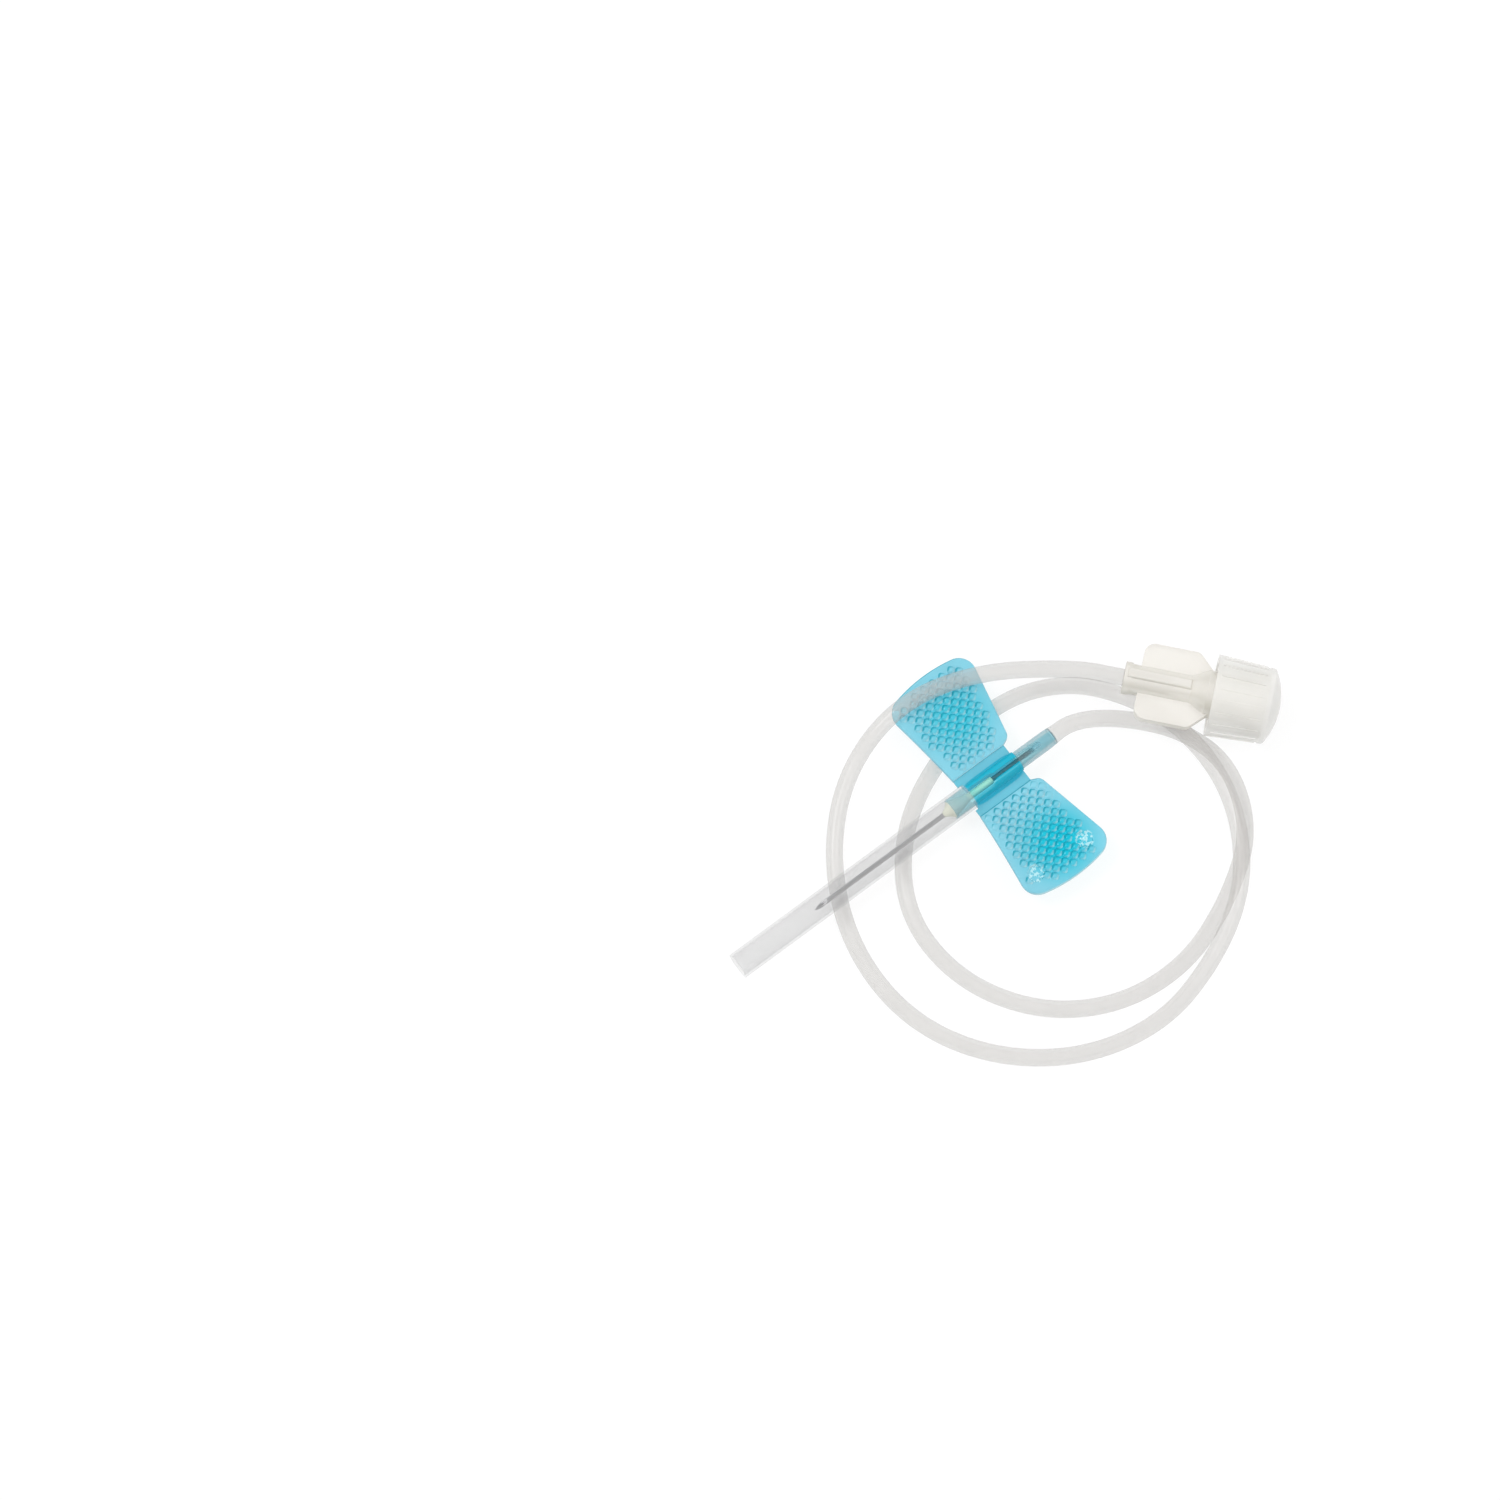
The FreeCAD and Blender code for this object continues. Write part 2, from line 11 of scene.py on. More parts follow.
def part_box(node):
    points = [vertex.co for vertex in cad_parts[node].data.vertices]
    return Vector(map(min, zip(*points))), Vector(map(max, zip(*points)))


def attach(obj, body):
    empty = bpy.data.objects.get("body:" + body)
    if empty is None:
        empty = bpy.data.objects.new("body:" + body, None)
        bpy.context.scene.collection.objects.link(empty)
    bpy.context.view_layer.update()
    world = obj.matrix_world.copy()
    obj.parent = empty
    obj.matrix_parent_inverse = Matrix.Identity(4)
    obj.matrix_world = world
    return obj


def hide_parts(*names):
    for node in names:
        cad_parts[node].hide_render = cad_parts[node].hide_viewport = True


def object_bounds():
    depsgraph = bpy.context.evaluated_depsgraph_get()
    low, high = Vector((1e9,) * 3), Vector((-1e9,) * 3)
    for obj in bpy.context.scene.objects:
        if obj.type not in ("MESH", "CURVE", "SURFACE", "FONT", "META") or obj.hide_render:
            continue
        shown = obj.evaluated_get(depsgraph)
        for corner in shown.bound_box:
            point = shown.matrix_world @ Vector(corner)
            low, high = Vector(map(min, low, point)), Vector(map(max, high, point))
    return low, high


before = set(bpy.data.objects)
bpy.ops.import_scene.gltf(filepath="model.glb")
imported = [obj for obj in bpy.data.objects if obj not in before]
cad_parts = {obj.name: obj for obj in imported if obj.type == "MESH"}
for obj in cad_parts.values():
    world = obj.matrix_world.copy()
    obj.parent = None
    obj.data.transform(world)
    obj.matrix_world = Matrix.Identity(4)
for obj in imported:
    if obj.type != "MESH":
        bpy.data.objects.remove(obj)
CAD_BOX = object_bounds()

# A winged infusion set on a white table, dressed for looks. Metres, in the frame of the solids.
MM = 0.001
TABLE_Z = CAD_BOX[0].z

# Camera: it looks steeply down, with the needle pointing to the lower left
CAMERA_AIM = Vector((-21.84 * MM, 22.25 * MM, TABLE_Z))
CAMERA_AZIMUTH = math.radians(-36.8)
CAMERA_ELEVATION = math.radians(76)
CAMERA_DISTANCE = 600 * MM
CAMERA_FIELD = math.radians(18.11)
CAMERA_NEAREST = 0.05
CAMERA_FARTHEST = 5

# Lamps: what they point at, and the place, width and power of each
LAMP_AIM = (0, -0.01, 0)
KEY_LAMP = ((-0.25, 0.35, 0.75), 0.3, 3.1)
FILL_LAMP = ((0.4, -0.3, 0.7), 0.6, 1.0)

# Surroundings: the light they give, and the tones that gloss shows from the side to overhead
WORLD_LIGHT = 0.68
CEILING = [(0.35, (1, 1, 1)), (0.8, (0.22, 0.22, 0.22))]

# Table: its tone, and as seen, a glow with a faint tone over it that keeps the shadow
FLOOR_REACH = 3.0
FLOOR_TONE = (0.8, 0.8, 0.8)
FLOOR_FAINT = (0.16, 0.16, 0.16)
FLOOR_GLOW = 0.85

# Colours
BLACK = (0.0, 0.0, 0.0)
HUB_PALE = (0.26, 0.64, 0.77)
HUB_MIDDLE = (0.15, 0.56, 0.7)
HUB_DEEP = (0.0, 0.55, 0.7)
HUB_SLEEVE = (0.0, 0.45, 0.62)
# Painted shade and painted highlight for the studs' flanks; the highlight also paints the glints in the
# ejector marks
HUB_PAINTED_SHADE = (0.0, 0.33, 0.43)
HUB_PAINTED_HIGHLIGHT = (0.75, 1.0, 1.0)
HUB_DYE = (0.0, 0.91, 0.955)
TUBE_TONE = (0.585, 0.565, 0.54)
# The connector's tones: painted shade on its flanks and a painted highlight on its flat tops
CONNECTOR_PAINTED_SHADED_FLANK = (0.78, 0.755, 0.69)
CONNECTOR_PAINTED_LIT_TOP = (0.87, 0.845, 0.8)
CAP_TONE = (0.86, 0.85, 0.82)
GLUE_TONE = (0.9, 0.92, 0.74)
GUARD_TONE = (0.56, 0.56, 0.56)
STEEL_DARK = (0.33, 0.33, 0.34)
STEEL_BRIGHT = (0.5, 0.5, 0.51)

# How much each surface of the see-through plastics shows, and the share of that which light meets
PADS_SHOWN = 0.88
MIDDLE_SHOWN = 0.8
TUBE_SHOWN = 0.32
BORE_SHOWN = 0.04
CONNECTOR_SHOWN = 0.65
CAP_SHOWN = 0.5
GLUE_SHOWN = 0.9
GUARD_SHOWN = 0.2
LIGHT_MEETS = 0.25

# How fast the hub's dye deepens with thickness
PADS_DYE = 1500
MIDDLE_DYE = 400

# Where that dye looks deeper or clearer: place and reach in millimetres, the core, which is the share of
# the reach at full strength, and the strength
DEEP_PADS = [((1.6, -11.3), (7.0, 7.0), 0.2, 1.0), ((1.0, 9.3), (6.5, 6.5), 0.2, 0.75)]
DEEP_SLEEVE = ((0.0, 0.0), (3.95, 1.85), 0.9)
CLEAR_MIDDLE = [((-2.2, 0.0), (2.4, 0.8), 0.7, 0.9), ((1.5, 0.0), (5.0, 0.42), 0.7, 0.95)]
CLEAR_ENDS = [((-6.4, 0.0), (2.75, 2.0), 0.9, 0.7), ((6.6, 0.0), (2.9, 1.4), 0.9, 0.65)]

# Studs' painted shade and highlight: the direction they face, where it starts and is full, colour and
# strength
STUD_PAINTED_SHADING = [
    ((-0.14, 0.99, 0), 0.1, 0.6, HUB_PAINTED_SHADE, 0.8),
    ((0.14, -0.99, 0), 0.25, 0.8, HUB_PAINTED_HIGHLIGHT, 0.5),
]

# Painted glints: bright specks in the ejector marks, with their reach in millimetres
SPECK_GRAIN = 2600
SPECK_TONES = [(0.5, (0, 0, 0)), (0.6, (1, 1, 1))]
SPECK_REACH = (1.3, 1.3)
SPECK_CORE = 0.8
SPECK_STRENGTH = 0.6

# What shows in the tubing over the tail: place, reach, core, colour and how much each surface shows
TAIL_LOOK = [
    ((6.55, 0.0), (2.8, 4.0), 0.95, (0.26, 0.5, 0.56), 0.5),
    ((5.4, 0.0), (2.0, 0.45), 0.7, (0.2, 0.35, 0.4), 0.2),
    ((9.2, 0.0), (0.14, 4.0), 0.5, (0.03, 0.16, 0.2), 0.6),
]

# Grain of the plastics: between which noise values they get paler, and how fine and strong their relief is
PLASTIC_IOR = 1.45
CLOUDS_FROM = 0.3
CLOUDS_TO = 0.7
RELIEF_FINENESS = 6
RELIEF_STRENGTH = 0.6

# Drawn steel: fine lines, stretched along the needle
STEEL_ROUGHNESS = 0.32
STEEL_LINES = 9000
STEEL_STRETCH = (0.03, 1, 1)

# Power that makes a spot nearly square
SPOT_SQUARENESS = 3

# Colour sockets of a mix node
MIX_A = 6
MIX_B = 7
MIX_RESULT = 2

# Tubing, stretched at its start over the tail. It narrows again from and over a share of the tail's length.
TUBE_R = 1.1 * MM
TUBE_BORE_R = 0.65 * MM
TUBE_FLARE_R = 1.23 * MM
FLARE_FROM = 0.8
FLARE_RUN = 0.4
STRETCHED_BORE_R = 0.9 * MM
STRETCHED_BORE_END_R = 0.72 * MM
TUBE_SIDES = 48
TUBE_STEPS = 24
AXIS_Z = 1.2 * MM
FLOOR_Z = TABLE_Z + TUBE_R
CROSS_Z = 0.70 * MM
OVER_Z = 2.30 * MM
SLEEVE_REAR = 3.75 * MM
TAIL_END = 9.3 * MM
SOCKET_DEPTH = 6.0 * MM

# Connector's and cap's axis
CONNECTOR_Z = 2.30 * MM
YAW = math.radians(-48.5)
HEADING = Vector((math.cos(YAW), math.sin(YAW), 0))
MOUTH = Vector((21.0 * MM, 0.4 * MM, CONNECTOR_Z))

# Hub's pads, and how far they and the middle run into each other at the crease
CREASE_Y = 2.8 * MM
CREASE_OVERLAP = 0.02 * MM
PAD_THICK = 0.75 * MM
PAD_ROUND = 0.2 * MM

# Studs, and the fainter ones towards the near pad's crease
STUD_PITCH = 1.03 * MM
STUD_HEIGHT = 0.3 * MM
STUD_REACH = 0.49 * MM
STUD_SQUARENESS = 3.5
STUD_BULGE = 3.0
FAINT_HEIGHT = 0.14 * MM
FAINT_GAP = 0.6 * MM
FAINT_TO = 8.0 * MM

# Ejector marks, sunk with a rippled floor
EJECTORS = [(4.5 * MM, -13.0 * MM), (-3.2 * MM, -12.9 * MM)]
EJECTOR_R = 1.1 * MM
EJECTOR_WALL = 0.15 * MM
EJECTOR_DEPTH = 0.12 * MM
EJECTOR_RIPPLE = 0.1 * MM
EJECTOR_GRAIN = 0.28 * MM

# A faint raised arc on the far pad, on one side of its circle
ARC_MIDDLE = (0.5 * MM, 9.05 * MM)
ARC_R = 3.06 * MM
ARC_WIDTH = 0.09 * MM
ARC_RISE = 0.07 * MM
ARC_SIDE = (-0.8, 0.6)
ARC_FADE_FROM = 0.1
ARC_FADE_RUN = 0.3

# The pads' mesh: its steps, and in shares of the edge's rounding, its rings and how clear they stay
GRID_STEPS = 14
EDGE_STEP = 0.12 * MM
EDGE_RINGS = (0.08, 0.25, 0.5, 0.8, 1.15)
RING_CLEAR = 0.9
GRID_CLEAR = 1.3

# Settings of the triangulation, and small and large enough distances to merge, compare and look down from
INSIDE_ONLY = 1
SNAP = 1e-9
WELD = 0.001 * MM
NUDGE = 0.01 * MM
PROBE_HEIGHT = 10 * MM

# Angles from which an edge is sharp, and how far past the crease the middle's own still holds
SHARP_MIDDLE = math.radians(20)
SHARP_PAD = math.radians(65)
SHARP_PAST_CREASE = 0.03 * MM


def on_connector(along):
    """A point of the connector's axis, at this distance from the mouth."""
    return MOUTH + HEADING * along


def at(x, y, z):
    """A point from two places in millimetres and a height in metres."""
    return Vector((x * MM, y * MM, z))


# The tubing's route. Its second point and last but one keep it straight over the tail and in the socket.
ROUTE = [
    at(3.75, 0, AXIS_Z),
    at(8.4, 0, AXIS_Z),
    at(12.8, 0, AXIS_Z),
    at(18.6, -3.0, FLOOR_Z),
    at(23.7, -8.9, FLOOR_Z),
    at(25.7, -16.1, FLOOR_Z),
    at(22.4, -24.4, FLOOR_Z),
    at(15.0, -29.6, FLOOR_Z),
    at(5.5, -33.2, FLOOR_Z),
    at(-4.8, -32.2, FLOOR_Z),
    at(-13.5, -26.6, FLOOR_Z),
    at(-18.9, -17.5, FLOOR_Z),
    at(-19.2, -7.0, FLOOR_Z),
    at(-13.2, 1.8, FLOOR_Z),
    at(-3.6, 7.0, FLOOR_Z),
    at(7.4, 8.2, FLOOR_Z),
    at(15.6, 5.1, FLOOR_Z + 0.1 * MM),
    at(20.5, -1.1, FLOOR_Z + 1.3 * MM),
    at(23.2, -8.6, CROSS_Z + 0.2 * MM),
    at(23.5, -17.0, CROSS_Z),
    at(20.7, -24.6, CROSS_Z),
    at(15.6, -30.7, CROSS_Z - 0.2 * MM),
    at(8.2, -34.9, FLOOR_Z + 0.8 * MM),
    at(-1.5, -37.3, FLOOR_Z),
    at(-12.4, -34.8, FLOOR_Z),
    at(-21.6, -27.8, FLOOR_Z),
    at(-27.0, -18.0, FLOOR_Z),
    at(-27.3, -6.6, FLOOR_Z),
    at(-22.8, 4.0, FLOOR_Z),
    at(-14.6, 12.1, FLOOR_Z + 0.85 * MM),
    at(-4.1, 14.9, OVER_Z),
    at(6.8, 12.1, OVER_Z),
    on_connector(-6.2 * MM),
    on_connector(-0.7 * MM),
    on_connector(SOCKET_DEPTH),
]


def add_camera():
    """The photograph's view."""
    back = Vector((
        math.sin(CAMERA_AZIMUTH) * math.cos(CAMERA_ELEVATION),
        -math.cos(CAMERA_AZIMUTH) * math.cos(CAMERA_ELEVATION),
        math.sin(CAMERA_ELEVATION),
    ))
    camera = bpy.data.objects.new("camera", bpy.data.cameras.new("camera"))
    bpy.context.scene.collection.objects.link(camera)
    camera.location = CAMERA_AIM + back * CAMERA_DISTANCE
    camera.rotation_mode = "QUATERNION"
    camera.rotation_quaternion = (-back).to_track_quat("-Z", "Y")
    camera.data.angle = CAMERA_FIELD
    camera.data.clip_start = CAMERA_NEAREST
    camera.data.clip_end = CAMERA_FARTHEST
    bpy.context.scene.camera = camera


def area_light(name, place, width, power):
    """A round, soft white lamp that points at the set."""
    lamp = bpy.data.lights.new(name, "AREA")
    lamp.shape = "DISK"
    lamp.size = width
    lamp.energy = power
    holder = bpy.data.objects.new(name, lamp)
    bpy.context.scene.collection.objects.link(holder)
    holder.location = place
    holder.rotation_mode = "QUATERNION"
    holder.rotation_quaternion = (Vector(LAMP_AIM) - Vector(place)).to_track_quat("-Z", "Y")


def ramp(nodes, links, value, stops):
    """Colours between stops of a value."""
    tones = nodes.new("ShaderNodeValToRGB")
    elements = tones.color_ramp.elements
    while len(elements) < len(stops):
        elements.new(0.5)
    for element, (position, colour) in zip(elements, stops):
        element.position = position
        element.color = (*colour, 1)
    links.new(value, tones.inputs["Fac"])
    return tones.outputs["Color"]


def seen_directly(nodes, links):
    """A factor of 1 for rays that show a backdrop: camera, mirror-like and see-through ones."""
    path = nodes.new("ShaderNodeLightPath")
    factor = path.outputs["Is Camera Ray"]
    for ray in ("Is Glossy Ray", "Is Transmission Ray"):
        either = nodes.new("ShaderNodeMath")
        either.operation = "MAXIMUM"
        links.new(factor, either.inputs[0])
        links.new(path.outputs[ray], either.inputs[1])
        factor = either.outputs[0]
    return factor


def add_world():
    """Plain soft light from all round, and a backdrop for gloss, white at the side and grey overhead."""
    world = bpy.data.worlds.new("studio")
    bpy.context.scene.world = world
    world.use_nodes = True
    nodes, links = world.node_tree.nodes, world.node_tree.links
    nodes.clear()
    out = nodes.new("ShaderNodeOutputWorld")
    mix = nodes.new("ShaderNodeMixShader")
    lit = nodes.new("ShaderNodeBackground")
    lit.inputs["Color"].default_value = (1, 1, 1, 1)
    lit.inputs["Strength"].default_value = WORLD_LIGHT
    shown = nodes.new("ShaderNodeBackground")
    place = nodes.new("ShaderNodeTexCoord")
    split = nodes.new("ShaderNodeSeparateXYZ")
    links.new(place.outputs["Generated"], split.inputs[0])
    links.new(ramp(nodes, links, split.outputs["Z"], CEILING), shown.inputs["Color"])
    shown.inputs["Strength"].default_value = 1.0
    links.new(seen_directly(nodes, links), mix.inputs["Fac"])
    links.new(lit.outputs[0], mix.inputs[1])
    links.new(shown.outputs[0], mix.inputs[2])
    links.new(mix.outputs[0], out.inputs["Surface"])


def add_floor():
    """A white table that is evenly bright to the camera and in gloss, and keeps the shadow."""
    mesh = bpy.data.meshes.new("floor")
    sides = ((-1, -1), (1, -1), (1, 1), (-1, 1))
    corners = [(x * FLOOR_REACH, y * FLOOR_REACH, TABLE_Z) for x, y in sides]
    mesh.from_pydata(corners, [], [(0, 1, 2, 3)])
    floor = bpy.data.objects.new("floor", mesh)
    bpy.context.scene.collection.objects.link(floor)
    material = bpy.data.materials.new("floor")
    material.use_nodes = True
    nodes, links = material.node_tree.nodes, material.node_tree.links
    nodes.clear()
    out = nodes.new("ShaderNodeOutputMaterial")
    matt = nodes.new("ShaderNodeBsdfDiffuse")
    matt.inputs["Color"].default_value = (*FLOOR_TONE, 1)
    faint = nodes.new("ShaderNodeBsdfDiffuse")
    faint.inputs["Color"].default_value = (*FLOOR_FAINT, 1)
    glow = nodes.new("ShaderNodeEmission")
    glow.inputs["Strength"].default_value = FLOOR_GLOW
    backdrop = nodes.new("ShaderNodeAddShader")
    links.new(faint.outputs[0], backdrop.inputs[0])
    links.new(glow.outputs[0], backdrop.inputs[1])
    mix = nodes.new("ShaderNodeMixShader")
    links.new(seen_directly(nodes, links), mix.inputs["Fac"])
    links.new(matt.outputs[0], mix.inputs[1])
    links.new(backdrop.outputs[0], mix.inputs[2])
    links.new(mix.outputs[0], out.inputs["Surface"])
    mesh.materials.append(material)


def see_through(material, alpha):
    """Sets how much each surface shows. Light goes through more easily than sight, as in milky plastic."""
    nodes, links = material.node_tree.nodes, material.node_tree.links
    path = nodes.new("ShaderNodeLightPath")
    clearer = mixed(nodes, links, path.outputs["Is Shadow Ray"], alpha, BLACK, 1 - LIGHT_MEETS)
    links.new(clearer, nodes["Principled BSDF"].inputs["Alpha"])


def plastic(name, colour, roughness, alpha=1.0, shine=0.5, grain=220, mottle=0.03, bump=0.02):
    """A moulded plastic with slightly uneven tone and surface, which each surface shows by its alpha."""
    material = bpy.data.materials.new(name)
    material.use_nodes = True
    nodes, links = material.node_tree.nodes, material.node_tree.links
    shader = nodes["Principled BSDF"]
    shader.inputs["Roughness"].default_value = roughness
    shader.inputs["IOR"].default_value = PLASTIC_IOR
    shader.inputs["Specular IOR Level"].default_value = shine
    if alpha < 1:
        see_through(material, (alpha, alpha, alpha))
    place = nodes.new("ShaderNodeTexCoord")
    clouds = nodes.new("ShaderNodeTexNoise")
    clouds.inputs["Scale"].default_value = grain
    clouds.inputs["Detail"].default_value = 3
    links.new(place.outputs["Object"], clouds.inputs["Vector"])
    darker = [c * (1 - mottle) for c in colour]
    paler = [min(1, c * (1 + mottle)) for c in colour]
    tones = ramp(nodes, links, clouds.outputs["Fac"], [(CLOUDS_FROM, darker), (CLOUDS_TO, paler)])
    links.new(tones, shader.inputs["Base Color"])
    fine = nodes.new("ShaderNodeTexNoise")
    fine.inputs["Scale"].default_value = grain * RELIEF_FINENESS
    fine.inputs["Detail"].default_value = 2
    links.new(place.outputs["Object"], fine.inputs["Vector"])
    relief = nodes.new("ShaderNodeBump")
    relief.inputs["Strength"].default_value = RELIEF_STRENGTH
    relief.inputs["Distance"].default_value = bump * MM
    links.new(fine.outputs["Fac"], relief.inputs["Height"])
    links.new(relief.outputs["Normal"], shader.inputs["Normal"])
    return material


def near_spot(nodes, links, place, spot, reach, core, square=False):
    """A factor of 1 over a round or nearly square spot, seen from above, that fades to 0 at its reach."""
    offset = nodes.new("ShaderNodeVectorMath")
    offset.operation = "SUBTRACT"
    links.new(place.outputs["Object"], offset.inputs[0])
    offset.inputs[1].default_value = (spot[0] * MM, spot[1] * MM, 0)
    scaled = nodes.new("ShaderNodeVectorMath")
    scaled.operation = "DIVIDE"
    links.new(offset.outputs["Vector"], scaled.inputs[0])
    scaled.inputs[1].default_value = (reach[0] * MM, reach[1] * MM, 1)
    share = scaled.outputs["Vector"]
    if square:
        for _ in range(SPOT_SQUARENESS - 1):
            power = nodes.new("ShaderNodeVectorMath")
            power.operation = "MULTIPLY"
            links.new(share, power.inputs[0])
            links.new(scaled.outputs["Vector"], power.inputs[1])
            share = power.outputs["Vector"]
    away = nodes.new("ShaderNodeVectorMath")
    away.operation = "LENGTH"
    links.new(share, away.inputs[0])
    fade = nodes.new("ShaderNodeMapRange")
    fade.interpolation_type = "SMOOTHSTEP"
    fade.inputs["From Min"].default_value = 1
    fade.inputs["From Max"].default_value = core ** SPOT_SQUARENESS if square else core
    links.new(away.outputs["Value"], fade.inputs["Value"])
    return fade.outputs["Result"]


def mixed(nodes, links, factor, a, b, share=1.0):
    """A colour that goes from a to b with a factor, at most by a share."""
    part = nodes.new("ShaderNodeMath")
    part.operation = "MULTIPLY"
    links.new(factor, part.inputs[0])
    part.inputs[1].default_value = share
    mix = nodes.new("ShaderNodeMix")
    mix.data_type = "RGBA"
    links.new(part.outputs[0], mix.inputs["Factor"])
    for value, socket in ((a, mix.inputs[MIX_A]), (b, mix.inputs[MIX_B])):
        if isinstance(value, tuple):
            socket.default_value = (*value, 1)
        else:
            links.new(value, socket)
    return mix.outputs[MIX_RESULT]


def facing(nodes, links, place, direction, start, end):
    """A factor that grows from 0 to 1 as the surface turns towards a direction."""
    lean = nodes.new("ShaderNodeVectorMath")
    lean.operation = "DOT_PRODUCT"
    links.new(place.outputs["Normal"], lean.inputs[0])
    lean.inputs[1].default_value = direction
    fade = nodes.new("ShaderNodeMapRange")
    fade.interpolation_type = "SMOOTHSTEP"
    fade.inputs["From Min"].default_value = start
    fade.inputs["From Max"].default_value = end
    links.new(lean.outputs["Value"], fade.inputs["Value"])
    return fade.outputs["Result"]


def hub_vinyl(name, colour, alpha=1.0):
    """Blue dyed vinyl, slightly cloudy."""
    return plastic(name, colour, roughness=0.2, alpha=alpha, shine=0.3, grain=180, mottle=0.05, bump=0.012)


def pad_vinyl():
    """The hub's vinyl on its pads, deeper in their middle, with painted shade and highlight on the studs.
    """
    material = hub_vinyl("hub_vinyl_pads", HUB_PALE, alpha=PADS_SHOWN)
    nodes, links = material.node_tree.nodes, material.node_tree.links
    shader = nodes["Principled BSDF"]
    colour = shader.inputs["Base Color"].links[0].from_socket
    place = nodes["Texture Coordinate"]
    for spot, reach, core, share in DEEP_PADS:
        deep = near_spot(nodes, links, place, spot, reach, core)
        colour = mixed(nodes, links, deep, colour, HUB_DEEP, share)
    # Painted shade and painted highlight on the studs' flanks, by the direction they face
    for direction, start, end, tint, share in STUD_PAINTED_SHADING:
        painted_flank = facing(nodes, links, place, direction, start, end)
        colour = mixed(nodes, links, painted_flank, colour, tint, share)
    # Painted glints: bright specks in the ejector marks
    rough = nodes.new("ShaderNodeTexNoise")
    rough.inputs["Scale"].default_value = SPECK_GRAIN
    rough.inputs["Detail"].default_value = 1
    links.new(place.outputs["Object"], rough.inputs["Vector"])
    specks = ramp(nodes, links, rough.outputs["Fac"], SPECK_TONES)
    for x, y in EJECTORS:
        near = near_spot(nodes, links, place, (x / MM, y / MM), SPECK_REACH, SPECK_CORE)
        shown = mixed(nodes, links, near, BLACK, specks)
        colour = mixed(nodes, links, shown, colour, HUB_PAINTED_HIGHLIGHT, SPECK_STRENGTH)
    links.new(colour, shader.inputs["Base Color"])
    absorb(material, HUB_DYE, PADS_DYE)
    return material


def connector_plastic():
    """Ivory plastic with a painted highlight on the flat tops and painted shade on the flanks."""
    material = plastic("connector_plastic", CONNECTOR_PAINTED_SHADED_FLANK, roughness=0.35, alpha=CONNECTOR_SHOWN)
    nodes, links = material.node_tree.nodes, material.node_tree.links
    shader = nodes["Principled BSDF"]
    painted_flank = shader.inputs["Base Color"].links[0].from_socket
    up = facing(nodes, links, nodes["Texture Coordinate"], direction=(0, 0, 1), start=0.75, end=0.98)
    links.new(mixed(nodes, links, up, painted_flank, CONNECTOR_PAINTED_LIT_TOP), shader.inputs["Base Color"])
    return material


def tube_vinyl():
    """Milky vinyl that takes the colour of the tail where it is stretched over it."""
    material = plastic("tube_vinyl", TUBE_TONE, roughness=0.22, bump=0.004)
    nodes, links = material.node_tree.nodes, material.node_tree.links
    shader = nodes["Principled BSDF"]
    colour = shader.inputs["Base Color"].links[0].from_socket
    shown = (TUBE_SHOWN, TUBE_SHOWN, TUBE_SHOWN)
    for spot, reach, core, tint, strength in TAIL_LOOK:
        tight = near_spot(nodes, links, nodes["Texture Coordinate"], spot, reach, core, square=True)
        colour = mixed(nodes, links, tight, colour, tint)
        shown = mixed(nodes, links, tight, shown, (strength, strength, strength))
    links.new(colour, shader.inputs["Base Color"])
    see_through(material, shown)
    return material


def middle_vinyl():
    """The hub's vinyl between its pads, deeper on the sleeve, clearer along its middle, nose and tail."""
    material = hub_vinyl("hub_vinyl_middle", HUB_MIDDLE)
    nodes, links = material.node_tree.nodes, material.node_tree.links
    shader = nodes["Principled BSDF"]
    colour = shader.inputs["Base Color"].links[0].from_socket
    place = nodes["Texture Coordinate"]
    deep = near_spot(nodes, links, place, *DEEP_SLEEVE, square=True)
    links.new(mixed(nodes, links, deep, colour, HUB_SLEEVE), shader.inputs["Base Color"])
    shown = (MIDDLE_SHOWN, MIDDLE_SHOWN, MIDDLE_SHOWN)
    for spot, reach, core, share in CLEAR_MIDDLE + CLEAR_ENDS:
        clear = near_spot(nodes, links, place, spot, reach, core, square=True)
        shown = mixed(nodes, links, clear, shown, BLACK, share)
    see_through(material, shown)
    absorb(material, HUB_DYE, MIDDLE_DYE)
    return material


def absorb(material, clear_colour, density):
    """Fills a see-through material with dye, so that thick places are deeper in colour."""
    nodes, links = material.node_tree.nodes, material.node_tree.links
    dye = nodes.new("ShaderNodeVolumeAbsorption")
    dye.inputs["Color"].default_value = (*clear_colour, 1)
    dye.inputs["Density"].default_value = density
    links.new(dye.outputs[0], nodes["Material Output"].inputs["Volume"])


def steel():
    """Drawn steel with fine lines along the needle."""
    material = bpy.data.materials.new("needle_steel")
    material.use_nodes = True
    nodes, links = material.node_tree.nodes, material.node_tree.links
    shader = nodes["Principled BSDF"]
    shader.inputs["Metallic"].default_value = 1.0
    shader.inputs["Roughness"].default_value = STEEL_ROUGHNESS
    place = nodes.new("ShaderNodeTexCoord")
    stretch = nodes.new("ShaderNodeMapping")
    stretch.inputs["Scale"].default_value = STEEL_STRETCH
    links.new(place.outputs["Object"], stretch.inputs["Vector"])
    lines = nodes.new("ShaderNodeTexNoise")
    lines.inputs["Scale"].default_value = STEEL_LINES
    lines.inputs["Detail"].default_value = 3
    links.new(stretch.outputs["Vector"], lines.inputs["Vector"])
    tones = ramp(nodes, links, lines.outputs["Fac"], [(0, STEEL_DARK), (1, STEEL_BRIGHT)])
    links.new(tones, shader.inputs["Base Color"])
    return material


def dress(node, material):
    """Gives a solid one finish all over."""
    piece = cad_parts[node]
    piece.data.materials.clear()
    piece.data.materials.append(material)


def link(name, mesh, body):
    """A new piece that rides on a body."""
    piece = bpy.data.objects.new(name, mesh)
    bpy.context.scene.collection.objects.link(piece)
    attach(piece, body)
    return piece


